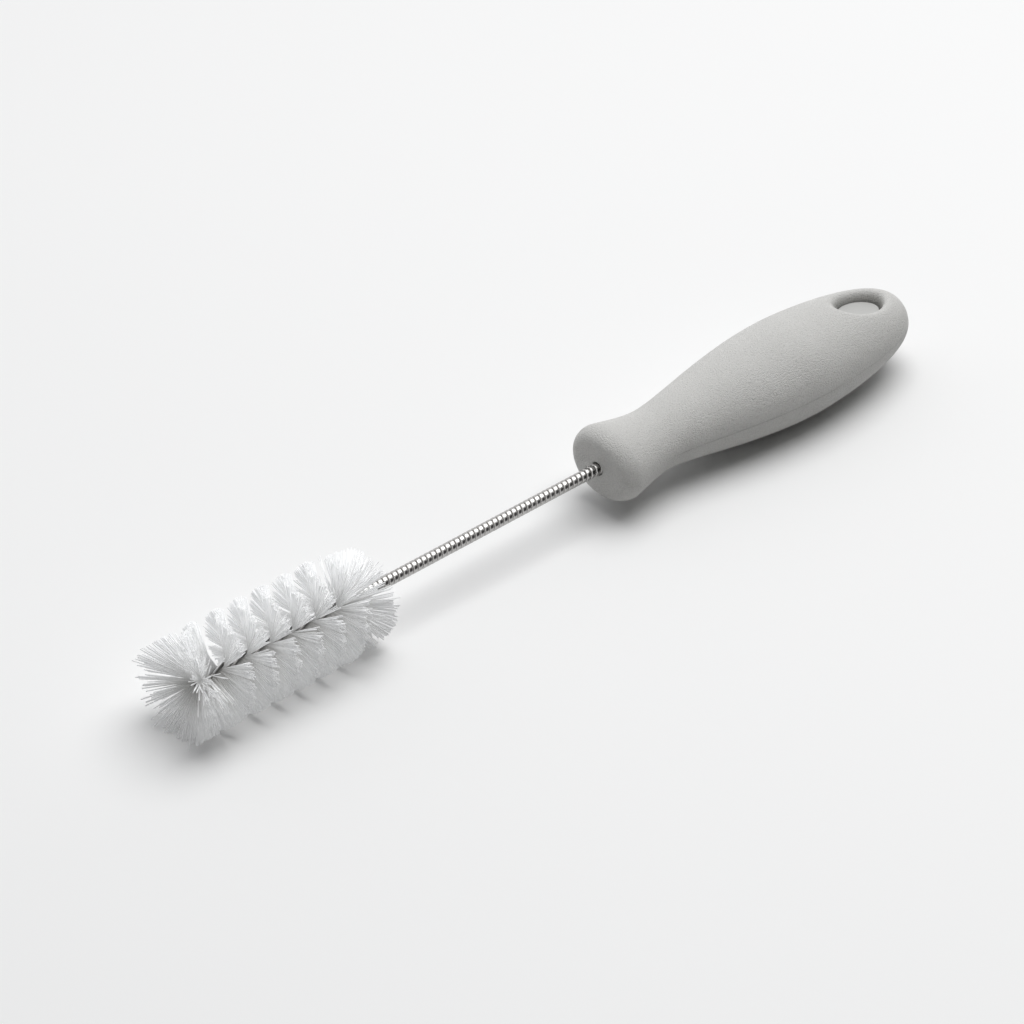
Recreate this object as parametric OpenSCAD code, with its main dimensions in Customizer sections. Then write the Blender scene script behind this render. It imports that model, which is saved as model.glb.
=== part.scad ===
// Bottle brush: a twisted-in-wire bristle head on a coil-wrapped shaft, set in an oval moulded handle.
// The brush lies at rest along X, with its tip at -X and its butt at +X. The floor is z = 0.
// Stations along the brush are measured from the handle's front face, with the tip side negative.

/* [Handle] */
// Length of the handle from its front face to the end of the butt
handle_len = 124; // [115:0.5:140]
// Mean radius of the collar at its crest
collar_r = 12.6; // [11.5:0.1:14]
// Station of the collar's crest
collar_crest = 5.3; // [4:0.1:7]
// Radial depth of the round on the collar's front edge
collar_round = 4.3; // [3:0.1:6]
// Mean radius of the neck
neck_r = 10; // [8.5:0.1:11]
// Station of the neck
neck_at = 22; // [17:0.1:26]
// Mean radius of the belly
belly_r = 16.4; // [15:0.1:19]
// Station of the belly
belly_at = 77.5; // [66:0.5:84]
// Width of the handle's section divided by its height
oval = 1.2; // [1:0.01:1.3]
// Taper of the butt seen from above, where 2 with a bluntness of 2 is an ellipse
plan_taper = 1.65; // [1.4:0.05:2.2]
// Bluntness of the butt seen from above
plan_blunt = 2.95; // [2:0.05:3.4]
// Taper of the butt seen from the side
side_taper = 1.5; // [1.3:0.05:2.2]
// Bluntness of the butt seen from the side
side_blunt = 3.4; // [2:0.05:4]

/* [Badge recess] */
// Distance from the end of the butt to the middle of the recess
recess_back = 16.8; // [15:0.1:22]
// Height of the recess floor above the brush's axis
recess_floor = 5.1; // [4:0.1:6]
// Slope of the recess floor towards the butt, in degrees
recess_tilt = 10; // [4:0.5:14]
// Round on the rim of the recess
recess_round = 3.2; // [1.8:0.1:3.6]
// Length of the badge
badge_len = 15.8; // [12:0.1:17]
// Width of the badge
badge_w = 10; // [8:0.1:10.6]
// Thickness of the badge
badge_t = 2.2; // [1.4:0.1:3]
// Round on the badge's upper edge
badge_round = 0.4; // [0.2:0.05:0.6]
// Gap between the badge and the wall of the recess
badge_gap = 0.6; // [0.4:0.05:0.8]
// Extra gap on the side of the butt
badge_slot = 0.8; // [0:0.1:1.2]

/* [Shaft] */
// Length of the coil between the handle and the head
shaft_len = 94.5; // [70:0.5:120]
// Radial thickness of the coil's flat wire
coil_t = 0.52; // [0.4:0.02:0.7]
// Advance of the coil in one turn
coil_pitch = 1.8; // [1.6:0.05:2.2]
// Gap between neighbouring turns of the coil
coil_gap = 0.06; // [0.04:0.01:0.1]
// Round at each edge of the coil's wire
coil_crown = 0.3; // [0.1:0.02:0.4]
// Depth of the coil inside the handle
coil_seat = 7; // [5:0.5:12]
// Clearance round the coil in the handle
coil_clear = 0.3; // [0.2:0.05:0.4]
// Radius of the twisted core wire
wire_r = 0.6; // [0.5:0.02:0.7]
// Depth of the core wire inside the handle
wire_seat = 34; // [26:1:44]
// Clearance between the core wire and what lies round it
wire_clear = 0.04; // [0.03:0.01:0.06]

/* [Bristle head] */
// Length of the head from the end of the coil to the tip of the core wire
head_len = 56; // [44:0.5:80]
// Radius of the head over the bristle tips
head_r = 15.8; // [13:0.1:17]
// Depth to which the bristles flatten where the head lies on the floor
head_press = 1; // [0.4:0.05:1.4]
// Advance of the twisted fan in one turn
fan_lead = 16.1; // [14:0.1:19]
// Width of a fan at the bristle tips, along the brush
fan_w = 4.2; // [2:0.1:5]
// Thickness of the fan where it is clamped between the two wires
fan_root = 0.5; // [0.4:0.02:0.6]
// Direction of the fan at the tip, in degrees
fan_phase = 20; // [0:5:175]
// Depth of the notches between neighbouring tufts
tuft_notch = 1.2; // [0.4:0.1:2]
// Forward lean of the tufts at the tip, in degrees
tip_lean = 34; // [15:1:40]
// Backward lean of the tufts beside the shaft, in degrees
rear_lean = 36; // [15:1:38]
// Length of core wire along which the tufts at the tip straighten up again
tip_lean_len = 8; // [5:0.5:14]
// Length of core wire along which the tufts beside the shaft straighten up again
rear_lean_len = 6; // [4:0.5:12]

/* [Hidden] */
$fn = 72;

// How finely curves are divided
handle_sides = 32;
round_steps = 6;
collar_steps = 6;
belly_steps = 9;
butt_steps = 13;
rim_steps = 28;
badge_sides = 28;
coil_steps = 12;
wire_steps = 8;
wire_sides = 5;
tufts_per_turn = 14;

// Pulls of the Bezier curves that join the collar, the neck and the belly
crest_pull = 0.1 * (neck_at - collar_crest);
neck_front_pull = 0.4 * (neck_at - collar_crest);
neck_rear_pull = 0.18 * (belly_at - neck_at);
belly_pull = 0.43 * (belly_at - neck_at);

// The recess holds the badge with a gap all round, wider on the side of the butt
recess_at = handle_len - recess_back;
recess_len = badge_len + 2 * badge_gap + badge_slot;
recess_w = badge_w + 2 * badge_gap;

// Radii at which the two strands of the core wire run: closed in the shaft, spread round the fan in the head
strand_shaft = strand_at(wire_clear / 2);
strand_head = strand_at(fan_root / 2 + wire_clear);
wire_bore = strand_shaft + wire_r + wire_clear;
fan_inner = strand_head + wire_r;

// Radius at which the faceted strands keep the given distance from the plane between them
function strand_at(gap) =
    let (half_step = 180 / wire_steps, half_side = 180 / wire_sides)
        (gap + wire_r * sin(half_side) * sin(half_step)) / cos(half_step) + wire_r * cos(half_side);

// Stations of the head's tip, of the hairpin's bend there, and of the two ends of the fan
tip_at = -shaft_len - head_len;
bend_at = tip_at + strand_head + wire_r;
spread_len = 2;
fan_gap = 0.4;
fan_from = -shaft_len - spread_len - fan_gap;
fan_to = bend_at;

// The flats of the coil's inside clear the core wire
coil_inner = wire_bore / cos(180 / coil_steps);
coil_r = coil_inner + coil_t;

// The brush rests on the belly and on the flattened bristles
belly_w = belly_r * sqrt(oval);
belly_h = belly_r / sqrt(oval);
rest_tilt = asin((head_r - head_press - belly_h) / (belly_at + shaft_len + head_len / 2));
rest_h = belly_h * cos(rest_tilt) + belly_at * sin(rest_tilt);
tip_reach = head_r * tan(tip_lean) + (fan_w * cos(tip_lean) - tuft_notch * sin(tip_lean)) / 2;
middle_x = (handle_len + fan_to - tip_reach) / 2;

// Bezier curve with level ends, from point a to point b
function level_curve(a, b, pull_a, pull_b, steps) = [
    for (i = [1:steps])
        let (t = i / steps, u = 1 - t)
            u^3 * a + 3 * u^2 * t * (a + [pull_a, 0]) + 3 * u * t^2 * (b - [pull_b, 0]) + t^3 * b
];

// Half-width or half-height of the butt at a station behind the belly
function butt_half(s, belly_half, taper, blunt) =
    let (u = max(0, (s - belly_at) / (handle_len - belly_at)))
        belly_half * max(0, 1 - u^taper)^(1 / blunt);
function butt_wide(s) = butt_half(s, belly_w, plan_taper, plan_blunt);
function butt_tall(s) = butt_half(s, belly_h, side_taper, side_blunt);

// Outline of the handle as stations with half-width and half-height; the last ring is a flat too small to see
last_ring = 0.98;
crest = [collar_crest, collar_r];
neck = [neck_at, neck_r];
belly = [belly_at, belly_r];
collar_front = [
    for (i = [0:round_steps])
        let (a = 90 * i / round_steps)
            [collar_crest * (1 - cos(a)), collar_r - collar_round * (1 - sin(a))]
];
butt_end = [
    for (i = [1:butt_steps])
        let (t = last_ring * i / butt_steps, s = belly_at + (handle_len - belly_at) * (1 - (1 - t)^3))
            [s, butt_wide(s), butt_tall(s)]
];
round_outline = concat(
    collar_front,
    level_curve(crest, neck, crest_pull, neck_front_pull, collar_steps),
    level_curve(neck, belly, neck_rear_pull, belly_pull, belly_steps)
);
handle_outline = concat([for (p = round_outline) [p[0], p[1] * sqrt(oval), p[1] / sqrt(oval)]], butt_end);

// Height of the butt's top over a point at station s and width y
function top_height(s, y) = butt_tall(s) * sqrt(max(0, 1 - (y / butt_wide(s))^2));

// Eases from 0 to 1 as u goes from 0 to 1
function ease(u) = let (v = min(1, max(0, u))) v * v * (3 - 2 * v);

// Triangles that join closed rings of n points each, in order, and close both ends round their first points
function ring_faces(rings, n) = concat(
    [for (k = [0:rings - 2]) for (j = [0:n - 1])
        for (f = [[k * n + j, k * n + (j + 1) % n, (k + 1) * n + j],
                  [k * n + (j + 1) % n, (k + 1) * n + (j + 1) % n, (k + 1) * n + j]]) f],
    [for (j = [1:n - 2]) [0, j + 1, j]],
    [for (j = [1:n - 2]) (rings - 1) * n * [1, 1, 1] + [0, j, j + 1]]
);

// Moves the brush from its own axis to where it lies
module at_rest() translate([-middle_x, 0, rest_h]) rotate([0, rest_tilt, 0]) children();

// The recess is cut along the top of the butt, with a rim that follows the saddle of the surface
rim_angles = [25, 50, 75];
rim_lift = 1.5;
function rim_out(a) = recess_round * (1 - cos(a));
function rim_depth(a) = recess_round * (1 - sin(a));
function rim_point(a, out, depth) =
    let (s = recess_at + (recess_len / 2 + out) * cos(a), y = (recess_w / 2 + out) * sin(a))
        [s, y, top_height(s, y) - depth];
function floor_point(a) =
    let (s = recess_len / 2 * cos(a))
        [recess_at + s, recess_w / 2 * sin(a), recess_floor - s * tan(recess_tilt)];
function oval_ring(k) = [
    for (i = [0:rim_steps - 1])
        let (a = -360 * i / rim_steps, last = rim_angles[len(rim_angles) - 1])
            k == 0 ? floor_point(a)
            : k == 1 ? rim_point(a, 0, recess_round)
            : k < len(rim_angles) + 2 ? rim_point(a, rim_out(rim_angles[k - 2]), rim_depth(rim_angles[k - 2]))
            : let (p = rim_point(a, rim_out(last) + rim_lift * sin(last), rim_depth(last) - rim_lift * cos(last)))
                k == len(rim_angles) + 2 ? p : [p[0], p[1], belly_h + rim_lift]
];

module recess_cut() {
    rings = len(rim_angles) + 4;
    polyhedron([for (k = [0:rings - 1]) each oval_ring(k)], ring_faces(rings, rim_steps));
}

// Rings of oval sections along the outline make the body of the handle
module handle_body() polyhedron([
    for (p = handle_outline) for (i = [0:handle_sides - 1])
        let (a = -360 * i / handle_sides)
            [p[0], p[1] * cos(a), p[2] * sin(a)]
], ring_faces(len(handle_outline), handle_sides));

// A round socket along the axis, from the front face to the given depth
socket_end = 0.5;
socket_lead = 1;
module socket(r, depth)
    rotate([0, 90, 0]) translate([0, 0, -socket_lead]) cylinder(r = r, h = depth + socket_end + socket_lead);

module grip() color([0.63, 0.63, 0.61]) at_rest() difference() {
    handle_body();
    recess_cut();
    socket(coil_r + coil_clear, coil_seat);
    socket(wire_bore, wire_seat);
}

// The badge is an oval button that stands on the recess floor
badge_rings = [
    [0, 0],
    [0, badge_t - badge_round],
    for (a = [45, 90]) [badge_round * (1 - cos(a)), badge_t - badge_round * (1 - sin(a))]
];
module badge() color([0.72, 0.72, 0.70]) at_rest()
    translate([recess_at - badge_slot / 2, 0, recess_floor + badge_slot / 2 * tan(recess_tilt)])
        rotate([0, recess_tilt, 0]) polyhedron([
            for (p = badge_rings) for (i = [0:badge_sides - 1])
                let (a = -360 * i / badge_sides)
                    [(badge_len / 2 - p[0]) * cos(a), (badge_w / 2 - p[0]) * sin(a), p[1]]
        ], ring_faces(len(badge_rings), badge_sides));

// Section of the coil's wire as distance along the brush and radius
coil_half = (coil_pitch - coil_gap) / 2;
coil_section = [
    [-coil_half, coil_inner],
    [coil_half, coil_inner],
    [coil_half - coil_crown, coil_r],
    [coil_crown - coil_half, coil_r]
];

// The coil winds left-handed: its angle falls as the station grows
module shaft_coil() color([0.66, 0.66, 0.66]) at_rest() {
    from = -shaft_len + coil_pitch / 2;
    turns = (coil_seat + shaft_len - coil_pitch) / coil_pitch;
    rings = floor(turns * coil_steps) + 1;
    polyhedron([
        for (k = [0:rings - 1]) let (a = -360 * k / coil_steps, s = from + coil_pitch * k / coil_steps)
            for (p = coil_section) [s + p[0], p[1] * cos(a), p[1] * sin(a)]
    ], ring_faces(rings, len(coil_section)));
}

// Direction of the fan at station s
function fan_angle(s) = fan_phase - 360 * (s - tip_at) / fan_lead;

// Points of one strand of the core wire, with the direction square to it and to the axis; side is 1 or -1
function strand_radius(s) =
    strand_shaft + (strand_head - strand_shaft) * ease((-shaft_len - 0.2 - s) / spread_len);
function strand_point(s, side) =
    let (a = fan_angle(s) + 90 * side, r = strand_radius(s)) [s, r * cos(a), r * sin(a)];
function strand_square(s) = let (a = fan_angle(s) + 90) [0, -sin(a), cos(a)];

// The two strands are one hairpin that turns back on itself at the tip
wire_stations = [
    for (i = [0:ceil((wire_seat - bend_at) / fan_lead * wire_steps)])
        max(bend_at, wire_seat - i * fan_lead / wire_steps)
];
last_station = len(wire_stations) - 1;
bend_steps = 6;
bend_path = [
    for (i = [1:bend_steps - 1])
        let (a = 180 * i / bend_steps, across = strand_point(bend_at, 1) - [bend_at, 0, 0])
            [bend_at - strand_head * sin(a), 0, 0] + across * cos(a)
];
wire_path = concat(
    [for (s = wire_stations) strand_point(s, 1)],
    bend_path,
    [for (i = [last_station:-1:0]) strand_point(wire_stations[i], -1)]
);
wire_square = concat(
    [for (s = wire_stations) strand_square(s)],
    [for (p = bend_path) strand_square(bend_at)],
    [for (i = [last_station:-1:0]) strand_square(wire_stations[i])]
);
function unit(v) = v / norm(v);

module core_wire() color([0.55, 0.55, 0.55]) at_rest() {
    n = len(wire_path);
    polyhedron([
        for (k = [0:n - 1])
            let (
                along = unit(wire_path[min(k + 1, n - 1)] - wire_path[max(k - 1, 0)]),
                side = unit(cross(along, wire_square[k])),
                up = cross(side, along)
            )
            for (j = [0:wire_sides - 1])
                let (a = 360 * j / wire_sides)
                    wire_path[k] + wire_r * (cos(a) * side + sin(a) * up)
    ], ring_faces(n, wire_sides));
}

// Lean of the tufts at station s, positive towards the tip
function lean(s) =
    tip_lean * (1 - ease((s - fan_to) / tip_lean_len)) - rear_lean * (1 - ease((fan_from - s) / rear_lean_len));

// No bristle reaches below the floor that the brush lies on
function above_floor(p) = [p[0], p[1], max(p[2], (p[0] * sin(rest_tilt) - rest_h) / cos(rest_tilt))];

// Five points of one tuft of the fan, from the front of its root round its tip to the back of its root
function tuft(s, side, reach) =
    let (
        a = fan_angle(s),
        out = side * [0, cos(a), sin(a)],
        across = side * [0, -sin(a), cos(a)],
        b = lean(s),
        along = cos(b) * out - sin(b) * [1, 0, 0],
        axial = cos(b) * [1, 0, 0] + sin(b) * out,
        root = [s, 0, 0] + fan_inner * out,
        end = [s, 0, 0] + reach / cos(b) * along
    ) [
        root + fan_root / 2 * across,
        above_floor(end + fan_w / 2 * axial - tuft_notch / 2 * along),
        above_floor(end),
        above_floor(end - fan_w / 2 * axial - tuft_notch / 2 * along),
        root - fan_root / 2 * across
    ];

// Closes one end of the fan: the two tufts and the strip between their roots
tuft_points = 5;
fan_cap = [
    [0, 1, 2], [0, 2, 3], [0, 3, 4],
    [5, 6, 7], [5, 7, 8], [5, 8, 9],
    [0, 4, 5], [0, 5, 9]
];

// One sheet of bristles that passes between the wires, twisted with them, notched into tufts at its edges
module bristles() color([0.94, 0.94, 0.93]) at_rest() {
    n = 2 * tuft_points;
    steps = ceil((fan_from - fan_to) / fan_lead * 2 * tufts_per_turn);
    points = [
        for (k = [0:steps])
            let (s = fan_to + (fan_from - fan_to) * k / steps, reach = head_r - tuft_notch * (k % 2))
                each concat(tuft(s, 1, reach), tuft(s, -1, reach))
    ];
    sides = [
        for (k = [0:steps - 1]) for (j = [0:n - 1])
            for (f = [[k * n + j, k * n + (j + 1) % n, (k + 1) * n + (j + 1) % n],
                      [k * n + j, (k + 1) * n + (j + 1) % n, (k + 1) * n + j]]) f
    ];
    near_end = [for (f = fan_cap) [f[0], f[2], f[1]]];
    far_end = [for (f = fan_cap) f + steps * n * [1, 1, 1]];
    polyhedron(points, concat(sides, near_end, far_end));
}

grip();
badge();
shaft_coil();
core_wire();
bristles();
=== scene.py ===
import math
import random

import bmesh
import bpy
from bpy.props import FloatProperty, FloatVectorProperty, IntProperty, PointerProperty
from mathutils import Matrix, Vector


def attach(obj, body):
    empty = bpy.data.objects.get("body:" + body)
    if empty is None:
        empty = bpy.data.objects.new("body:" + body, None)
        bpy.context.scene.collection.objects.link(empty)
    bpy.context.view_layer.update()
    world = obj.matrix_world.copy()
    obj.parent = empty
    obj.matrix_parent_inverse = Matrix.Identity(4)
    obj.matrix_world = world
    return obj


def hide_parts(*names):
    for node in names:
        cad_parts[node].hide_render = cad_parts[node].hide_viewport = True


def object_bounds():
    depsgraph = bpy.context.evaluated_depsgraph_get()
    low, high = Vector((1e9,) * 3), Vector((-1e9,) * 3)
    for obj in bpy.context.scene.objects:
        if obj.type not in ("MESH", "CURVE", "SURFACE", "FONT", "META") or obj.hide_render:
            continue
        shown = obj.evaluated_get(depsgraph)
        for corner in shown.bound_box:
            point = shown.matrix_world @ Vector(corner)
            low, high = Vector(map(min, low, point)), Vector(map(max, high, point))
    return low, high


bl_info = {
    "name": "Bottle brush",
    "version": (1, 0, 0),
    "blender": (4, 5, 0),
    "location": "View3D > Sidebar > Brush",
    "description": "Dresses the packed bottle brush: handle, badge, coil, core wire, bristles and stage",
    "category": "Object",
}

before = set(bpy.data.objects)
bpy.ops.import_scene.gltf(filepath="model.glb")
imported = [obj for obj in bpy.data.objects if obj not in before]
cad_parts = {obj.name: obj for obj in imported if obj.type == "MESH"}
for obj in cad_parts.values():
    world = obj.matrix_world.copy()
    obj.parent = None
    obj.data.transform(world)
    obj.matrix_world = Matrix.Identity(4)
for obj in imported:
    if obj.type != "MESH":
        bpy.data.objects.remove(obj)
CAD_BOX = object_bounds()
BODY = "root"
MM = 0.001
IMAGE = 1024
SENSOR = 36.0


def length_prop(name, description, default_mm):
    """A size in metres whose default is given in millimetres."""
    return FloatProperty(
        name=name, description=description, default=default_mm * MM, min=0.0, unit="LENGTH", precision=5
    )


def colour_prop(name, description, default):
    return FloatVectorProperty(
        name=name, description=description, default=default, size=3, subtype="COLOR", min=0.0, max=1.0
    )


def angle_prop(name, description, default_deg):
    return FloatProperty(
        name=name, description=description, default=math.radians(default_deg), subtype="ANGLE"
    )


def plain_prop(name, description, default, unit="NONE"):
    return FloatProperty(name=name, description=description, default=default, unit=unit)


class HandleSettings(bpy.types.PropertyGroup):
    """The moulded handle, with stations measured from its front face."""

    length: length_prop("Length", "Front face to the end of the butt", 124.0)
    collar_r: length_prop("Collar radius", "Mean radius of the collar at its crest", 12.6)
    collar_crest: length_prop("Collar crest", "Station of the collar's crest", 5.3)
    collar_round: length_prop("Collar round", "Radial depth of the round on the front edge", 4.3)
    neck_r: length_prop("Neck radius", "Mean radius of the neck", 10.0)
    neck_at: length_prop("Neck station", "Station of the neck", 22.0)
    belly_r: length_prop("Belly radius", "Mean radius of the belly", 16.4)
    belly_at: length_prop("Belly station", "Station of the belly", 77.5)
    oval: plain_prop("Oval", "Width of the section divided by its height", 1.2)
    plan_taper: plain_prop("Plan taper", "Taper of the butt seen from above", 1.65)
    plan_blunt: plain_prop("Plan bluntness", "Bluntness of the butt seen from above", 2.95)
    side_taper: plain_prop("Side taper", "Taper of the butt seen from the side", 1.5)
    side_blunt: plain_prop("Side bluntness", "Bluntness of the butt seen from the side", 3.4)
    recess_back: length_prop("Recess", "End of the butt to the middle of the recess", 16.8)
    recess_floor: length_prop("Recess floor", "Height of the recess floor above the axis", 5.1)
    recess_tilt: angle_prop("Recess slope", "Slope of the recess floor towards the butt", 10.0)
    recess_round: length_prop("Recess round", "Round on the rim of the recess", 3.2)
    grain: length_prop("Grain", "Size of one pebble of the moulded grain", 0.42)
    colour: colour_prop("Colour", "Soft-touch grey", (0.645, 0.64, 0.62))


class BadgeSettings(bpy.types.PropertyGroup):
    """The bare oval button in the recess."""

    length: length_prop("Length", "Length of the badge", 15.8)
    width: length_prop("Width", "Width of the badge", 10.0)
    thick: length_prop("Thickness", "Thickness of the badge", 2.2)
    edge: length_prop("Edge round", "Round on the upper edge", 0.45)
    gap: length_prop("Gap", "Gap between the badge and the recess wall", 0.6)
    slot: length_prop("Slot", "Extra gap on the side of the butt", 0.8)
    colour: colour_prop("Colour", "Smooth grey", (0.49, 0.49, 0.476))


class ShaftSettings(bpy.types.PropertyGroup):
    """The coil and the twisted core wire."""

    length: length_prop("Visible length", "Coil between the handle and the head", 94.5)
    coil_r: length_prop("Coil radius", "Outer radius of the coil", 1.86)
    coil_t: length_prop("Wire thickness", "Radial thickness of the coil's wire", 0.52)
    pitch: length_prop("Pitch", "Advance of the coil in one turn", 1.8)
    groove: length_prop("Groove", "Depth of the groove between neighbouring turns", 0.48)
    seat: length_prop("Seat", "Depth of the coil inside the handle", 7.0)
    clear: length_prop("Clearance", "Gap round the coil in the handle", 0.3)
    wire_r: length_prop("Core wire radius", "Radius of the twisted core wire", 0.6)
    wire_seat: length_prop("Core wire seat", "Depth of the core wire inside the handle", 34.0)
    strand_shaft: length_prop("Strands in the shaft", "Strand centres from the axis, inside the coil", 0.653)
    strand_head: length_prop("Strands in the head", "Strand centres from the axis, round the bristles", 0.945)
    colour: colour_prop("Coil colour", "Bright drawn steel", (0.5, 0.49, 0.48))
    core_colour: colour_prop("Core colour", "Dull drawn wire", (0.2, 0.195, 0.19))


class HeadSettings(bpy.types.PropertyGroup):
    """The filaments, clamped between the two strands and twisted with them."""

    length: length_prop("Length", "End of the coil to the tip of the core wire", 56.0)
    radius: length_prop("Radius", "Radius over the filament tips", 15.8)
    lead: length_prop("Lead", "Advance of the twisted fan in one turn", 16.1)
    phase: angle_prop("Phase", "Direction of the fan at the tip", 20.0)
    tip_lean_len: length_prop("Tip lean length", "Wire along which the tip filaments straighten up", 8.0)
    spread: length_prop("Fan width", "Width of a fan at its rim, along the brush", 2.2)
    tip_lean: angle_prop("Tip lean", "Forward lean of the filaments at the tip", 34.0)
    rear_lean: angle_prop("Rear lean", "Backward lean of the filaments beside the shaft", 36.0)
    rear_lean_len: length_prop("Rear lean length", "Wire along which the rear filaments straighten up", 6.0)
    filament_r: length_prop("Filament radius", "Radius of one filament", 0.2)
    filaments: IntProperty(name="Filaments", description="Number of filament ends", default=6500, min=100)
    press: length_prop("Press", "Depth to which the head flattens on the floor", 1.0)
    seed: IntProperty(name="Seed", description="Seed of the filaments' scatter", default=7)
    colour: colour_prop("Colour", "White nylon", (0.975, 0.98, 0.99))


class StageSettings(bpy.types.PropertyGroup):
    """Floor, light and camera."""

    azimuth: angle_prop("Azimuth", "Direction of the camera round the brush", -41.83)
    elevation: angle_prop("Elevation", "Height of the camera above the horizon", 36.5)
    distance: plain_prop("Distance", "Camera to the handle's front face", 1.4, "LENGTH")
    focal: plain_prop("Focal length", "Focal length in pixels of the image", 4751.0)
    aim_x: plain_prop("Aim across", "Pixel column of the handle's front face", 597.0)
    aim_y: plain_prop("Aim down", "Pixel row of the handle's front face", 468.9)
    floor: colour_prop("Floor", "Pale floor", (0.93, 0.93, 0.925))


def mm(value):
    return value / MM


def ease(u):
    v = min(1.0, max(0.0, u))
    return v * v * (3.0 - 2.0 * v)


class Form:
    """The brush's own sizes in millimetres, along its own axis, as the CAD source has them."""

    def __init__(self, scene):
        h, b, s, d = scene.brush_handle, scene.brush_badge, scene.brush_shaft, scene.brush_head
        self.length, self.belly_at = mm(h.length), mm(h.belly_at)
        self.belly = (mm(h.belly_r) * math.sqrt(h.oval), mm(h.belly_r) / math.sqrt(h.oval))
        self.taper, self.blunt = (h.plan_taper, h.side_taper), (h.plan_blunt, h.side_blunt)
        self.recess_at = mm(h.length - h.recess_back)
        self.recess_half = (mm(b.length / 2 + b.gap + b.slot / 2), mm(b.width / 2 + b.gap))
        self.recess_slope = math.tan(h.recess_tilt)
        self.recess_floor = mm(h.recess_floor)
        self.tip_at = -mm(s.length + d.length)
        self.lead, self.phase = mm(d.lead), d.phase
        self.bend_at = self.tip_at + mm(s.strand_head + s.wire_r)
        rise = mm(d.radius - d.press) - self.belly[1]
        self.tilt = math.asin(rise / (self.belly_at + mm(s.length) + mm(d.length) / 2))
        self.rest_h = self.belly[1] * math.cos(self.tilt) + self.belly_at * math.sin(self.tilt)
        self.middle = mm(h.length) - mm(CAD_BOX[1].x)
        self.lay = (
            Matrix.Scale(MM, 4)
            @ Matrix.Translation((-self.middle, 0.0, self.rest_h))
            @ Matrix.Rotation(self.tilt, 4, "Y")
        )

    def butt(self, s):
        """Half-width and half-height of the butt at a station behind the belly."""
        u = min(1.0, max(0.0, (s - self.belly_at) / (self.length - self.belly_at)))
        return [
            half * max(0.0, 1.0 - u**taper) ** (1.0 / blunt)
            for half, taper, blunt in zip(self.belly, self.taper, self.blunt)
        ]

    def top(self, s, y):
        """Height of the butt's top over a point at station s and width y."""
        w, h = self.butt(s)
        return h * math.sqrt(max(0.0, 1.0 - (y / w) ** 2))

    def fan_angle(self, s):
        return self.phase - 2.0 * math.pi * (s - self.tip_at) / self.lead


def form_of(context):
    return Form(context.scene)


def level_curve(a, b, pull_a, pull_b, steps):
    """Points of a Bezier curve with level ends, without its first point."""
    points = []
    for i in range(1, steps + 1):
        t = i / steps
        u = 1.0 - t
        points.append(
            tuple(
                u**3 * p + 3 * u * u * t * (p + q * pull_a) + 3 * u * t * t * (r - q * pull_b) + t**3 * r
                for p, r, q in zip(a, b, (1.0, 0.0))
            )
        )
    return points


def first_ring(bm, points, capped):
    """Starts a swept skin from a circle whose vertices move to the first ring's points."""
    made = bmesh.ops.create_circle(bm, cap_ends=capped, radius=1.0, segments=len(points))
    for v, p in zip(made["verts"], points):
        v.co = p
    return made["verts"]


def loop_edges(bm, loop):
    return [bm.edges.get((a, b)) for a, b in zip(loop, loop[1:] + loop[:1])]


def next_ring(bm, loop, points):
    """Extrudes the last ring and moves the new one to its points."""
    made = bmesh.ops.extrude_edge_only(bm, edges=loop_edges(bm, loop))
    fresh = {g for g in made["geom"] if isinstance(g, bmesh.types.BMVert)}
    ring = [next(e.other_vert(v) for e in v.link_edges if e.other_vert(v) in fresh) for v in loop]
    for v, p in zip(ring, points):
        v.co = p
    return ring


def close_ring(bm, loop):
    bmesh.ops.edgeloop_fill(bm, edges=loop_edges(bm, loop))


def piece(name, bm, form, node, material):
    """Lays the finished mesh in the row frame and puts it in place of its CAD node."""
    bm.transform(form.lay)
    bmesh.ops.recalc_face_normals(bm, faces=bm.faces)
    return placed(name, bm, node, material)


def placed(name, bm, node, material):
    for f in bm.faces:
        f.smooth = True
    mesh = bpy.data.meshes.new(name)
    bm.to_mesh(mesh)
    bm.free()
    mesh.materials.append(material)
    obj = bpy.data.objects.new(name, mesh)
    bpy.context.scene.collection.objects.link(obj)
    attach(obj, BODY)
    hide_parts(node)
    return obj


def new_material(name):
    """A material with only its Principled shader and output."""
    mat = bpy.data.materials.new(name)
    mat.use_nodes = True
    tree = mat.node_tree
    shader = next(n for n in tree.nodes if n.type == "BSDF_PRINCIPLED")
    return mat, tree, shader


def node(tree, kind, **sockets):
    n = tree.nodes.new(kind)
    for key, value in sockets.items():
        n.inputs[key.replace("_", " ")].default_value = value
    return n


def feed(tree, value, socket):
    """Links a socket to an input, or sets the input to a plain value."""
    if isinstance(value, bpy.types.NodeSocket):
        tree.links.new(value, socket)
    elif value is not None:
        socket.default_value = value


def math_node(tree, operation, a, b=None, c=None, clamp=False):
    n = tree.nodes.new("ShaderNodeMath")
    n.operation = operation
    n.use_clamp = clamp
    for value, socket in zip((a, b, c), n.inputs):
        feed(tree, value, socket)
    return n.outputs[0]


def mix_node(tree, factor, a, b, blend="MIX"):
    """Mixes two colours. The node's sockets 0, 6 and 7 are those for colours."""
    n = tree.nodes.new("ShaderNodeMix")
    n.data_type, n.blend_type = "RGBA", blend
    for value, index in ((factor, 0), (a, 6), (b, 7)):
        feed(tree, value, n.inputs[index])
    return n.outputs[2]


def grey(value):
    return (value, value, value)


def ramp_node(tree, value, stops):
    n = tree.nodes.new("ShaderNodeValToRGB")
    tree.links.new(value, n.inputs["Fac"])
    ramp = n.color_ramp
    while len(ramp.elements) < len(stops):
        ramp.elements.new(0.5)
    for element, (position, colour) in zip(ramp.elements, stops):
        element.position = position
        element.color = (*colour, 1.0)
    return n.outputs["Color"]


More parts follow.
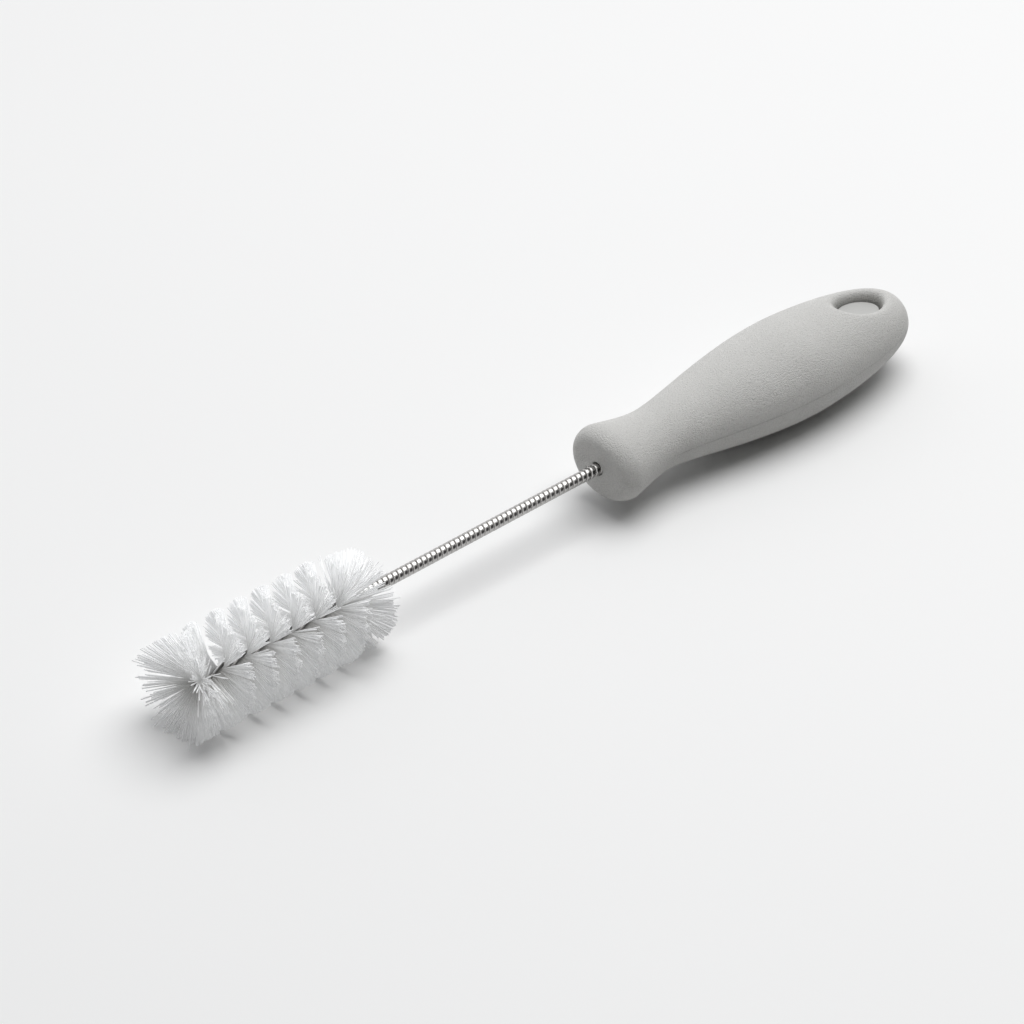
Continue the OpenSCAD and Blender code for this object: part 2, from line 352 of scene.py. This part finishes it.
def bump_node(tree, height, strength, distance):
    n = node(tree, "ShaderNodeBump", Strength=strength, Distance=distance)
    tree.links.new(height, n.inputs["Height"])
    return n.outputs["Normal"]


def new_group(name, inputs, outputs):
    """An empty shader group with named float or vector sockets."""
    group = bpy.data.node_groups.new(name, "ShaderNodeTree")
    for key, kind in inputs:
        group.interface.new_socket(name=key, in_out="INPUT", socket_type=kind)
    for key, kind in outputs:
        group.interface.new_socket(name=key, in_out="OUTPUT", socket_type=kind)
    return group, group.nodes.new("NodeGroupInput"), group.nodes.new("NodeGroupOutput")


def place_group(tree, group, **values):
    n = tree.nodes.new("ShaderNodeGroup")
    n.node_tree = group
    for key, value in values.items():
        feed(tree, value, n.inputs[key])
    return n.outputs


def pebble_grain():
    """Moulded pebble grain: a height field and a soft tone that varies over the surface."""
    made = bpy.data.node_groups.get("PebbleGrain")
    if made:
        return made
    group, source, sink = new_group(
        "PebbleGrain",
        [("Vector", "NodeSocketVector"), ("Scale", "NodeSocketFloat")],
        [("Height", "NodeSocketFloat"), ("Tone", "NodeSocketFloat")],
    )
    cells = node(group, "ShaderNodeTexVoronoi", Randomness=1.0)
    cells.feature = "SMOOTH_F1"
    cells.inputs["Smoothness"].default_value = 0.6
    fine = node(group, "ShaderNodeTexNoise", Detail=2.0, Roughness=0.6)
    broad = node(group, "ShaderNodeTexNoise", Scale=60.0, Detail=3.0)
    for texture in (cells, fine, broad):
        group.links.new(source.outputs["Vector"], texture.inputs["Vector"])
    group.links.new(source.outputs["Scale"], cells.inputs["Scale"])
    doubled = math_node(group, "MULTIPLY", source.outputs["Scale"], 1.7)
    group.links.new(doubled, fine.inputs["Scale"])
    height = math_node(group, "SUBTRACT", fine.outputs["Fac"], cells.outputs["Distance"])
    group.links.new(height, sink.inputs["Height"])
    group.links.new(broad.outputs["Fac"], sink.inputs["Tone"])
    return group


def drawn_streaks():
    """Fine lines left by drawing the wire, as a value that varies along and across it."""
    made = bpy.data.node_groups.get("DrawnStreaks")
    if made:
        return made
    group, source, sink = new_group(
        "DrawnStreaks",
        [("Vector", "NodeSocketVector"), ("Scale", "NodeSocketFloat")],
        [("Streak", "NodeSocketFloat"), ("Spot", "NodeSocketFloat")],
    )
    streak = node(group, "ShaderNodeTexNoise", Detail=4.0, Roughness=0.7)
    spot = node(group, "ShaderNodeTexNoise", Scale=420.0, Detail=2.0)
    for texture in (streak, spot):
        group.links.new(source.outputs["Vector"], texture.inputs["Vector"])
    group.links.new(source.outputs["Scale"], streak.inputs["Scale"])
    group.links.new(streak.outputs["Fac"], sink.inputs["Streak"])
    group.links.new(spot.outputs["Fac"], sink.inputs["Spot"])
    return group


def seen_rays(tree):
    """1 for the rays that show the plain background: from the camera, or by way of metal or glass."""
    paths = tree.nodes.new("ShaderNodeLightPath").outputs
    seen = math_node(tree, "ADD", paths["Is Camera Ray"], paths["Is Glossy Ray"])
    return math_node(tree, "ADD", seen, paths["Is Transmission Ray"], clamp=True)


def dot_node(tree, vector, direction):
    n = tree.nodes.new("ShaderNodeVectorMath")
    n.operation = "DOT_PRODUCT"
    n.inputs[1].default_value = direction.normalized()
    tree.links.new(vector, n.inputs[0])
    return n.outputs["Value"]


def tinted(colour, factor):
    return tuple(min(1.0, c * factor) for c in colour)


SEAM_HALF = 0.00011
SEAM_FROM = 0.034
SEAM_FADE = 120.0
SEAM_DEPTH = 1.4
SEAM_SHADE = 0.55


def soft_touch_material(settings, form):
    """Matt grey with a pebbled grain and a parting line that fades out towards the collar."""
    mat, tree, shader = new_material("SoftTouchGrey")
    where = tree.nodes.new("ShaderNodeTexCoord").outputs["Object"]
    grain = place_group(tree, pebble_grain(), Vector=where, Scale=1.0 / settings.grain)
    axes = tree.nodes.new("ShaderNodeSeparateXYZ")
    tree.links.new(where, axes.inputs[0])
    # The two halves of the mould met along the handle's widest line
    level = math_node(tree, "MULTIPLY", axes.outputs["X"], math.tan(form.tilt))
    level = math_node(tree, "ADD", axes.outputs["Z"], level)
    level = math_node(tree, "SUBTRACT", level, MM * (form.rest_h - form.middle * math.tan(form.tilt)))
    seam = math_node(tree, "DIVIDE", math_node(tree, "ABSOLUTE", level), SEAM_HALF)
    seam = math_node(tree, "SUBTRACT", 1.0, seam, clamp=True)
    behind = math_node(tree, "SUBTRACT", axes.outputs["X"], SEAM_FROM)
    behind = math_node(tree, "MULTIPLY", behind, SEAM_FADE, clamp=True)
    seam = math_node(tree, "MULTIPLY", seam, behind)
    tone = ramp_node(
        tree, grain["Tone"], [(0.3, tinted(settings.colour, 0.97)), (0.7, tinted(settings.colour, 1.03))]
    )
    speckle = math_node(tree, "MULTIPLY_ADD", grain["Height"], 0.22, 0.99)
    speckled = tree.nodes.new("ShaderNodeVectorMath")
    speckled.operation = "SCALE"
    tree.links.new(tone, speckled.inputs[0])
    tree.links.new(speckle, speckled.inputs["Scale"])
    dark = (*tinted(settings.colour, SEAM_SHADE), 1.0)
    shade = mix_node(tree, math_node(tree, "MULTIPLY", seam, 0.55), speckled.outputs[0], dark)
    tree.links.new(shade, shader.inputs["Base Color"])
    rough = math_node(tree, "MULTIPLY_ADD", grain["Tone"], 0.1, 0.44)
    tree.links.new(rough, shader.inputs["Roughness"])
    height = math_node(tree, "SUBTRACT", grain["Height"], math_node(tree, "MULTIPLY", seam, SEAM_DEPTH))
    tree.links.new(bump_node(tree, height, 0.8, 0.0003), shader.inputs["Normal"])
    shader.inputs["Specular IOR Level"].default_value = 0.42
    return mat


def badge_material(settings):
    mat, tree, shader = new_material("BadgeGrey")
    where = tree.nodes.new("ShaderNodeTexCoord").outputs["Object"]
    grain = place_group(tree, pebble_grain(), Vector=where, Scale=5200.0)
    tone = ramp_node(
        tree, grain["Tone"], [(0.3, tinted(settings.colour, 0.98)), (0.7, tinted(settings.colour, 1.02))]
    )
    tree.links.new(tone, shader.inputs["Base Color"])
    tree.links.new(bump_node(tree, grain["Height"], 0.08, 0.00004), shader.inputs["Normal"])
    shader.inputs["Roughness"].default_value = 0.36
    return mat


def steel_material(name, colour, scale, rough_low, rough_high, painted_reflection_from=None):
    """Drawn steel, with a painted dark reflection band where its normal faces the given direction, the dim side
    of the studio, if one is given.
    """
    mat, tree, shader = new_material(name)
    where = tree.nodes.new("ShaderNodeTexCoord").outputs["Object"]
    streaks = place_group(tree, drawn_streaks(), Vector=where, Scale=scale)
    tone = ramp_node(tree, streaks["Streak"], [(0.3, tinted(colour, 0.8)), (0.7, tinted(colour, 1.12))])
    if painted_reflection_from:
        # Painted reflection: the colour is darkened to a tenth where the surface faces the dim side of the
        # studio
        normal = tree.nodes.new("ShaderNodeNewGeometry").outputs["Normal"]
        painted_reflection_band = ramp_node(tree, dot_node(tree, normal, painted_reflection_from), [(0.93, grey(1.0)), (0.985, grey(0.1))])
        tone = mix_node(tree, 1.0, tone, painted_reflection_band, "MULTIPLY")
    tree.links.new(tone, shader.inputs["Base Color"])
    span = math_node(tree, "MULTIPLY_ADD", streaks["Spot"], rough_high - rough_low, rough_low)
    tree.links.new(span, shader.inputs["Roughness"])
    tree.links.new(bump_node(tree, streaks["Streak"], 0.12, 0.00003), shader.inputs["Normal"])
    shader.inputs["Metallic"].default_value = 1.0
    return mat


# Painted shade: colour of the filaments at their root
NYLON_ROOT_PAINTED_SHADE = (0.46, 0.455, 0.44, 1.0)
NYLON_PAINTED_GLOW = 0.14


def nylon_material(settings):
    """White nylon, with painted shade that darkens it towards its root, less on the upper filaments, and a
    small painted glow in place of the light that goes on inside it.
    """
    mat, tree, shader = new_material("WhiteNylon")
    shade = tree.nodes.new("ShaderNodeAttribute")
    shade.attribute_name = "shade"
    along = tree.nodes.new("ShaderNodeAttribute")
    along.attribute_name = "along"
    dull, bright = tinted(settings.colour, 0.97), tinted(settings.colour, 1.02)
    base = ramp_node(tree, shade.outputs["Fac"], [(0.0, dull), (1.0, bright)])
    # Painted shade: the colour darkens towards the filament's root, read from the 'along' attribute
    root_painted_shade_mix = ramp_node(tree, along.outputs["Fac"], [(0.0, grey(0.0)), (0.5, grey(0.6)), (1.0, grey(1.0))])
    colour = mix_node(tree, root_painted_shade_mix, NYLON_ROOT_PAINTED_SHADE, base)
    tree.links.new(colour, shader.inputs["Base Color"])
    shader.inputs["Roughness"].default_value = 0.42
    shader.inputs["Specular IOR Level"].default_value = 0.35
    # Painted glow: the nylon gives off light of its own
    tree.links.new(colour, shader.inputs["Emission Color"])
    shader.inputs["Emission Strength"].default_value = NYLON_PAINTED_GLOW
    return mat


class BRUSH_OT_handle(bpy.types.Operator):
    """Models the moulded handle with its collar, waist, oval belly, socket and recess"""

    bl_idname = "brush.handle"
    bl_label = "Handle"

    SIDES = 160
    LIP = 0.3
    BUTT_STEPS = 56

    def execute(self, context):
        h, s = context.scene.brush_handle, context.scene.brush_shaft
        form = form_of(context)
        turn = [2.0 * math.pi * k / self.SIDES for k in range(self.SIDES)]
        wide, tall = math.sqrt(h.oval), 1.0 / math.sqrt(h.oval)

        def section(at, r, w=wide, t=tall):
            return [Vector((at, r * w * math.cos(a), r * t * math.sin(a))) for a in turn]

        hole = mm(s.coil_r + s.clear)
        face = mm(h.collar_r - h.collar_round)
        bm = bmesh.new()
        ring = first_ring(bm, section(mm(s.seat) + 0.5, hole, 1.0, 1.0), capped=True)
        for at in (4.0, 1.5, self.LIP):
            ring = next_ring(bm, ring, section(at, hole, 1.0, 1.0))
        for i in range(1, 5):
            a = math.pi / 2 * i / 4
            ring = next_ring(
                bm, ring, section(self.LIP * (1 - math.sin(a)), hole + self.LIP * (1 - math.cos(a)), 1.0, 1.0)
            )
        for i in range(1, 8):
            t = i / 7
            r = hole + self.LIP + (face - hole - self.LIP) * t
            ring = next_ring(bm, ring, section(0.0, r, 1 + (wide - 1) * t, 1 + (tall - 1) * t))
        for at, r in self.outline(h):
            ring = next_ring(bm, ring, section(at, r))
        for points in self.butt_rings(form, h, turn):
            ring = next_ring(bm, ring, points)
        close_ring(bm, ring)
        piece("handle_moulding", bm, form, "grip", soft_touch_material(h, form))
        return {"FINISHED"}

    @staticmethod
    def outline(h):
        """Stations and mean radii from the front face round the collar to the belly."""
        crest = (mm(h.collar_crest), mm(h.collar_r))
        neck = (mm(h.neck_at), mm(h.neck_r))
        belly = (mm(h.belly_at), mm(h.belly_r))
        front = []
        for i in range(1, 17):
            a = math.pi / 2 * i / 16
            front.append((crest[0] * (1 - math.cos(a)), crest[1] - mm(h.collar_round) * (1 - math.sin(a))))
        waist, swell = neck[0] - crest[0], belly[0] - neck[0]
        return (
            front
            + level_curve(crest, neck, 0.1 * waist, 0.4 * waist, 18)
            + level_curve(neck, belly, 0.18 * swell, 0.43 * swell, 32)
        )

    def butt_rings(self, form, h, turn):
        """Rings from the belly over the butt that close in on the recess, and go down into it."""
        span = form.length - form.belly_at
        half_l, half_w = form.recess_half
        soft = mm(h.recess_round)

        def rim(a, out, depth):
            s = form.recess_at - (half_l + out) * math.sin(a)
            y = (half_w + out) * math.cos(a)
            return Vector((s, y, form.top(s, y) - depth))

        def floor(a, share):
            s = -half_l * share * math.sin(a)
            y = half_w * share * math.cos(a)
            return Vector((form.recess_at + s, y, form.recess_floor - s * form.recess_slope))

        # The butt unrolls to a disc with its far end in the middle and the belly round its edge
        start = []
        for a in turn:
            p = rim(a, soft, 0.0)
            reach = (1.0 - (p.x - form.belly_at) / span) ** (1 / 3)
            round_by = math.acos(max(-1.0, min(1.0, p.y / form.butt(p.x)[0])))
            start.append((reach * math.cos(round_by), reach * math.sin(round_by)))
        rings = []
        for i in range(1, self.BUTT_STEPS):
            w = 1.0 - i / self.BUTT_STEPS
            points = []
            for a, (px, py) in zip(turn, start):
                x, y = (1 - w) * px + w * math.cos(a), (1 - w) * py + w * math.sin(a)
                s = form.belly_at + span * (1.0 - math.hypot(x, y) ** 3)
                round_by = math.atan2(y, x)
                half = form.butt(s)
                points.append(Vector((s, half[0] * math.cos(round_by), half[1] * math.sin(round_by))))
            rings.append(points)
        for i in range(0, 11):
            b = math.pi / 2 * (1 - i / 10)
            out, depth = soft * (1 - math.cos(b)), soft * (1 - math.sin(b))
            rings.append([rim(a, out, depth) for a in turn])
        wall = rings[-1]
        for t in (0.35, 0.7, 0.9):
            rings.append([p.lerp(floor(a, 1.0), t) for a, p in zip(turn, wall)])
        for share in (0.985, 0.9, 0.5, 0.1):
            rings.append([floor(a, share) for a in turn])
        return rings


class BRUSH_OT_badge(bpy.types.Operator):
    """Models the bare oval button on the floor of the recess"""

    bl_idname = "brush.badge"
    bl_label = "Badge"

    SIDES = 96
    CROWN = 0.08

    def execute(self, context):
        b = context.scene.brush_badge
        form = form_of(context)
        half_l, half_w, thick, edge = mm(b.length / 2), mm(b.width / 2), mm(b.thick), mm(b.edge)
        turn = [2.0 * math.pi * k / self.SIDES for k in range(self.SIDES)]

        def oval(inset, z):
            return [Vector(((half_l - inset) * math.cos(a), (half_w - inset) * math.sin(a), z)) for a in turn]

        bm = bmesh.new()
        ring = first_ring(bm, oval(0.0, 0.0), capped=True)
        for i in range(0, 7):
            a = math.pi / 2 * i / 6
            inset, drop = edge * (1 - math.cos(a)), edge * (1 - math.sin(a))
            ring = next_ring(bm, ring, oval(inset, thick - self.CROWN - drop))
        for t in (0.75, 0.5, 0.25, 0.06):
            z = thick - self.CROWN * t * t
            wide, deep = (half_l - edge) * t, (half_w - edge) * t
            ring = next_ring(bm, ring, [Vector((wide * math.cos(a), deep * math.sin(a), z)) for a in turn])
        close_ring(bm, ring)
        shift = mm(b.slot) / 2
        height = form.recess_floor + shift * form.recess_slope
        seat = Matrix.Translation((form.recess_at - shift, 0.0, height))
        bm.transform(seat @ Matrix.Rotation(math.atan(form.recess_slope), 4, "Y"))
        piece("badge_button", bm, form, "badge", badge_material(b))
        return {"FINISHED"}


class BRUSH_OT_coil(bpy.types.Operator):
    """Models the close-wound coil as one left-handed screw of a crowned section"""

    bl_idname = "brush.coil"
    bl_label = "Coil"

    STEPS = 28
    PART = 0.03
    FLAT = 8
    # Direction of the dim side of the studio, whose dark reflection is painted into the coil's colour
    PAINTED_REFLECTION_FROM = Vector((0.0, -0.875, 0.485))

    def execute(self, context):
        s = context.scene.brush_shaft
        form = form_of(context)
        outer, inner, pitch = mm(s.coil_r), mm(s.coil_r - s.coil_t), mm(s.pitch)
        half, groove = pitch / 2 - self.PART, mm(s.groove)
        start = -mm(s.length) + pitch / 2
        crown = [-1.0, -0.96, -0.9, -0.82, -0.7, -0.4, 0.0, 0.4, 0.7, 0.82, 0.9, 0.96, 1.0]
        top = [(half * q, outer - groove * q**self.FLAT) for q in crown]
        profile = [(-half, inner)] + top + [(half, inner)]
        bm = bmesh.new()
        ring = first_ring(bm, [Vector((start + x, r, 0.0)) for x, r in profile], capped=False)
        turns = (mm(s.seat + s.length) - pitch) / pitch
        steps = int(turns * self.STEPS)
        ends = bmesh.ops.spin(
            bm,
            geom=list(ring) + loop_edges(bm, ring),
            cent=(0.0, 0.0, 0.0),
            axis=(1.0, 0.0, 0.0),
            dvec=(pitch / self.STEPS, 0.0, 0.0),
            angle=-2.0 * math.pi * steps / self.STEPS,
            steps=steps,
        )["geom_last"]
        close_ring(bm, ring)
        bmesh.ops.edgeloop_fill(bm, edges=[g for g in ends if isinstance(g, bmesh.types.BMEdge)])
        steel = steel_material("BrightSteel", s.colour, 3800.0, 0.16, 0.3, self.PAINTED_REFLECTION_FROM)
        piece("shaft_coil_wire", bm, form, "shaft_coil", steel)
        return {"FINISHED"}


class BRUSH_OT_core(bpy.types.Operator):
    """Models the twisted hairpin of core wire that carries the bristles"""

    bl_idname = "brush.core"
    bl_label = "Core wire"

    SIDES = 10
    STEPS = 18
    BEND = 8
    SPREAD = 2.0

    def execute(self, context):
        s = context.scene.brush_shaft
        form = form_of(context)
        radius = mm(s.wire_r)
        path, square = self.hairpin(form, s)
        bm, ring = bmesh.new(), None
        last = len(path) - 1
        for k, p in enumerate(path):
            along = (path[min(k + 1, last)] - path[max(k - 1, 0)]).normalized()
            side = along.cross(square[k]).normalized()
            up = side.cross(along)
            points = [
                p + radius * (math.cos(a) * side + math.sin(a) * up)
                for a in (2.0 * math.pi * j / self.SIDES for j in range(self.SIDES))
            ]
            ring = next_ring(bm, ring, points) if ring else first_ring(bm, points, capped=True)
        close_ring(bm, ring)
        steel = steel_material("WireSteel", s.core_colour, 2600.0, 0.3, 0.45)
        piece("core_wire_twist", bm, form, "core_wire", steel)
        return {"FINISHED"}

    def hairpin(self, form, s):
        """Path of the wire, out along one strand and back along the other, with each point's side direction."""
        seat, spread_from = mm(s.wire_seat), -mm(s.length) - 0.2
        tight, open_r = mm(s.strand_shaft), mm(s.strand_head)
        count = math.ceil((seat - form.bend_at) / form.lead * self.STEPS)
        stations = [max(form.bend_at, seat - i * form.lead / self.STEPS) for i in range(count + 1)]

        def strand(at, sign):
            a = form.fan_angle(at) + math.pi / 2 * sign
            r = tight + (open_r - tight) * ease((spread_from - at) / self.SPREAD)
            return Vector((at, r * math.cos(a), r * math.sin(a)))

        def flat(at):
            a = form.fan_angle(at) + math.pi / 2
            return Vector((0.0, -math.sin(a), math.cos(a)))

        across = strand(form.bend_at, 1) - Vector((form.bend_at, 0.0, 0.0))
        bend = []
        for i in range(1, self.BEND):
            a = math.pi * i / self.BEND
            bend.append(Vector((form.bend_at - open_r * math.sin(a), 0.0, 0.0)) + across * math.cos(a))
        path = [strand(at, 1) for at in stations] + bend + [strand(at, -1) for at in reversed(stations)]
        square = [flat(at) for at in stations]
        return path, square + [flat(form.bend_at)] * len(bend) + square[::-1]


class BRUSH_OT_bristles(bpy.types.Operator):
    """Sets thousands of filaments between the strands, in a left-handed fan splayed at both ends"""

    bl_idname = "brush.bristles"
    bl_label = "Bristles"

    BATCH = 250
    ROOT = 0.3
    TUFT = math.radians(15.0)
    CLUMP = 0.45
    PADDLE = math.radians(72.0)
    FLATTEN = 0.48
    # Painted light: how much less the roots of the upper filaments are darkened
    UPPER_ROOT_PAINTED_LIGHT = 0.6
    SPLAYED = 0.55
    CROWDING = 1.2
    ALONG = 0.93
    ALIGN = math.radians(2.5)
    SHORT = 1.6
    REAR_BED = 1.4

    def execute(self, context):
        d, s = context.scene.brush_head, context.scene.brush_shaft
        form = form_of(context)
        draw = random.Random(d.seed)
        first, last = form.bend_at, -mm(s.length) - self.SHORT
        whole = bmesh.new()
        self.layers(whole)
        made = 0
        while made < d.filaments:
            count = min(self.BATCH, d.filaments - made)
            part = bmesh.new()
            layers = self.layers(part)
            for i in range(made, made + count):
                share = min(1.0, (i + draw.random()) / d.filaments / self.ALONG)
                at = first + (last - first) * share**self.CROWDING
                if share == 1.0:
                    at -= self.REAR_BED * draw.random()
                self.filament(part, layers, form, d, draw, at, first, last)
            mesh = bpy.data.meshes.new("filament_batch")
            part.to_mesh(mesh)
            part.free()
            whole.from_mesh(mesh)
            bpy.data.meshes.remove(mesh)
            made += count
        placed("bristle_filaments", whole, "bristles", nylon_material(d))
        return {"FINISHED"}

    @staticmethod
    def layers(bm):
        return bm.verts.layers.float.new("shade"), bm.verts.layers.float.new("along")

    def filament(self, bm, layers, form, d, draw, at, first, last):
        """One filament from the core to the trimmed rim of the head, as a thin four-sided rod."""
        side = draw.choice((0.0, math.pi))
        near_tip = 1.0 - ease((at - first) / mm(d.tip_lean_len))
        near_rear = 1.0 - ease((last - at) / mm(d.rear_lean_len))
        splay = draw.uniform(0.75, 1.05) if draw.random() < self.SPLAYED else draw.uniform(-0.15, 0.05)
        loose = max(near_tip**3, near_rear**2 * splay)
        aim = form.fan_angle(at) + draw.gauss(0.0, self.ALIGN)
        if draw.random() < loose:
            aim = draw.uniform(0.0, 2.0 * math.pi)
        tuft = (math.floor(aim / self.TUFT) + 0.5) * self.TUFT
        aim += (tuft - aim) * self.CLUMP * draw.random() + side
        if math.cos(aim - self.PADDLE) > 0.0:
            aim -= self.FLATTEN * math.sin(2.0 * (aim - self.PADDLE)) * (1.0 - loose)
        lean = d.tip_lean * near_tip * draw.uniform(0.5, 1.05) - d.rear_lean * near_rear * splay
        reach = mm(d.radius) - abs(draw.gauss(0.0, 0.24)) - 0.1 * draw.random()
        reach *= math.cos(min(0.0, lean))
        drift = mm(d.spread) / 2 * draw.uniform(-1.0, 1.0) + draw.gauss(0.0, 0.15)
        out = Vector((0.0, math.cos(aim), math.sin(aim)))
        root = Vector((at, 0.0, 0.0)) + self.ROOT * out
        end = Vector((at + drift - reach * math.tan(lean), 0.0, 0.0)) + reach * out
        root, end = form.lay @ root, form.lay @ end
        low = MM * (0.05 + 0.12 * draw.random())
        if end.z < low:
            end.y += math.copysign(min(low - end.z, MM), end.y) * 0.6
            end.z = low
        span = end - root
        turn = span.to_track_quat("Z", "Y").to_matrix().to_4x4()
        spin = Matrix.Rotation(draw.uniform(0.0, 2.0 * math.pi), 4, "Z")
        rod = bmesh.ops.create_cone(
            bm,
            cap_ends=True,
            segments=4,
            radius1=d.filament_r,
            radius2=d.filament_r * 0.92,
            depth=span.length,
            matrix=Matrix.Translation((root + end) / 2) @ turn @ spin,
        )["verts"]
        shade, along = layers
        tone = draw.random()
        # Painted shade at the root: the root's 'along' value is 0 on the lower filaments and up to 0.6 on the
        # upper ones, which face the light
        deep = self.UPPER_ROOT_PAINTED_LIGHT * max(0.0, math.cos(aim - self.PADDLE)) ** 0.5
        for v in rod:
            v[shade] = tone
            v[along] = 1.0 if (v.co - root).length > (v.co - end).length else deep


class BRUSH_OT_stage(bpy.types.Operator):
    """Adds the pale floor, the soft studio light and the camera"""

    bl_idname = "brush.stage"
    bl_label = "Stage"

    FLOOR_HALF = 5.0
    SENT_BACK = 0.7
    KEY_FROM = Vector((0.32, 0.04, 0.95))
    KEY_AT = 1.6
    KEY_SIZE = 1.6
    KEY_POWER = 20.0
    GLOW_FROM = Vector((0.2, 0.72, 0.66))
    DOME = [(0.0, grey(0.03)), (0.55, grey(0.04)), (0.82, (0.5, 0.505, 0.515)), (1.0, (0.7, 0.705, 0.72))]
    PLAIN = (0.93, 0.93, 0.93, 1.0)

    def execute(self, context):
        scene = context.scene
        stage = scene.brush_stage
        self.floor(scene, stage)
        self.world(scene)
        self.key(scene)
        self.camera(scene, stage, form_of(context))
        scene.view_settings.view_transform = "Standard"
        return {"FINISHED"}

    def floor(self, scene, stage):
        bm = bmesh.new()
        bmesh.ops.create_grid(bm, x_segments=2, y_segments=2, size=self.FLOOR_HALF)
        mesh = bpy.data.meshes.new("floor")
        bm.to_mesh(mesh)
        bm.free()
        mat, tree, shader = new_material("PaleFloor")
        where = tree.nodes.new("ShaderNodeTexCoord").outputs["Object"]
        cloud = node(tree, "ShaderNodeTexNoise", Scale=3.0, Detail=2.0)
        tree.links.new(where, cloud.inputs["Vector"])
        low, high = tinted(stage.floor, 0.995), tinted(stage.floor, 1.005)
        tone = ramp_node(tree, cloud.outputs["Fac"], [(0.3, low), (0.7, high)])
        sent_back = (*tinted(stage.floor, self.SENT_BACK), 1.0)
        tree.links.new(mix_node(tree, seen_rays(tree), sent_back, tone), shader.inputs["Base Color"])
        shader.inputs["Roughness"].default_value = 0.9
        shader.inputs["Specular IOR Level"].default_value = 0.1
        mesh.materials.append(mat)
        obj = bpy.data.objects.new("floor", mesh)
        scene.collection.objects.link(obj)

    def world(self, scene):
        """A soft dome that glows behind the brush, and is dim on the camera's side."""
        world = bpy.data.worlds.new("studio_dome")
        scene.world = world
        world.use_nodes = True
        tree = world.node_tree
        tree.nodes.clear()
        out = tree.nodes.new("ShaderNodeOutputWorld")
        direction = tree.nodes.new("ShaderNodeTexCoord").outputs["Generated"]
        facing = math_node(tree, "MULTIPLY_ADD", dot_node(tree, direction, self.GLOW_FROM), 0.5, 0.5)
        glow = ramp_node(tree, facing, self.DOME)
        dome = node(tree, "ShaderNodeBackground", Strength=1.0)
        tree.links.new(glow, dome.inputs["Color"])
        plain = node(tree, "ShaderNodeBackground", Color=self.PLAIN, Strength=1.0)
        mix = tree.nodes.new("ShaderNodeMixShader")
        tree.links.new(seen_rays(tree), mix.inputs[0])
        tree.links.new(dome.outputs[0], mix.inputs[1])
        tree.links.new(plain.outputs[0], mix.inputs[2])
        tree.links.new(mix.outputs[0], out.inputs["Surface"])

    def key(self, scene):
        """One large soft lamp above the brush, on the butt's side."""
        light = bpy.data.lights.new("key", "AREA")
        light.shape = "DISK"
        light.size = self.KEY_SIZE
        light.energy = self.KEY_POWER
        lamp = bpy.data.objects.new("key", light)
        lamp.location = self.KEY_FROM.normalized() * self.KEY_AT
        lamp.rotation_euler = self.KEY_FROM.to_track_quat("Z", "Y").to_euler()
        scene.collection.objects.link(lamp)

    @staticmethod
    def camera(scene, stage, form):
        """Puts the handle's front face at the pixel where the photograph has it."""
        a, e = stage.azimuth, stage.elevation
        back = Vector((math.sin(a) * math.cos(e), -math.cos(a) * math.cos(e), math.sin(e)))
        right = Vector((math.cos(a), math.sin(a), 0.0))
        up = back.cross(right)
        data = bpy.data.cameras.new("camera")
        data.sensor_width = SENSOR
        data.lens = stage.focal / IMAGE * SENSOR
        data.shift_x, data.shift_y = 0.5 - stage.aim_x / IMAGE, stage.aim_y / IMAGE - 0.5
        data.clip_start, data.clip_end = 0.01, 50.0
        cam = bpy.data.objects.new("camera", data)
        cam.location = form.lay @ Vector((0.0, 0.0, 0.0)) + back * stage.distance
        cam.rotation_mode = "QUATERNION"
        cam.rotation_quaternion = Matrix((right, up, back)).transposed().to_quaternion()
        scene.collection.objects.link(cam)
        scene.camera = cam


class BRUSH_PT_panel(bpy.types.Panel):
    """Lists the brush's pieces in the order in which they are made"""

    bl_idname = "BRUSH_PT_panel"
    bl_label = "Bottle brush"
    bl_space_type = "VIEW_3D"
    bl_region_type = "UI"
    bl_category = "Brush"

    def draw(self, context):
        for op in OPERATORS:
            self.layout.operator(op.bl_idname)
        for key in SETTINGS:
            box = self.layout.box()
            settings = getattr(context.scene, key)
            for prop in settings.bl_rna.properties:
                if prop.identifier not in {"rna_type", "name"}:
                    box.prop(settings, prop.identifier)


SETTINGS = {
    "brush_handle": HandleSettings,
    "brush_badge": BadgeSettings,
    "brush_shaft": ShaftSettings,
    "brush_head": HeadSettings,
    "brush_stage": StageSettings,
}
OPERATORS = (BRUSH_OT_handle, BRUSH_OT_badge, BRUSH_OT_coil, BRUSH_OT_core, BRUSH_OT_bristles, BRUSH_OT_stage)


def register():
    for cls in (*SETTINGS.values(), *OPERATORS, BRUSH_PT_panel):
        bpy.utils.register_class(cls)
    for key, cls in SETTINGS.items():
        setattr(bpy.types.Scene, key, PointerProperty(type=cls))


def unregister():
    for key in SETTINGS:
        delattr(bpy.types.Scene, key)
    for cls in (BRUSH_PT_panel, *reversed(OPERATORS), *reversed(SETTINGS.values())):
        bpy.utils.unregister_class(cls)


def main():
    register()
    bpy.ops.brush.handle()
    bpy.ops.brush.badge()
    bpy.ops.brush.coil()
    bpy.ops.brush.core()
    bpy.ops.brush.bristles()
    bpy.ops.brush.stage()


if __name__ == "__main__":
    main()
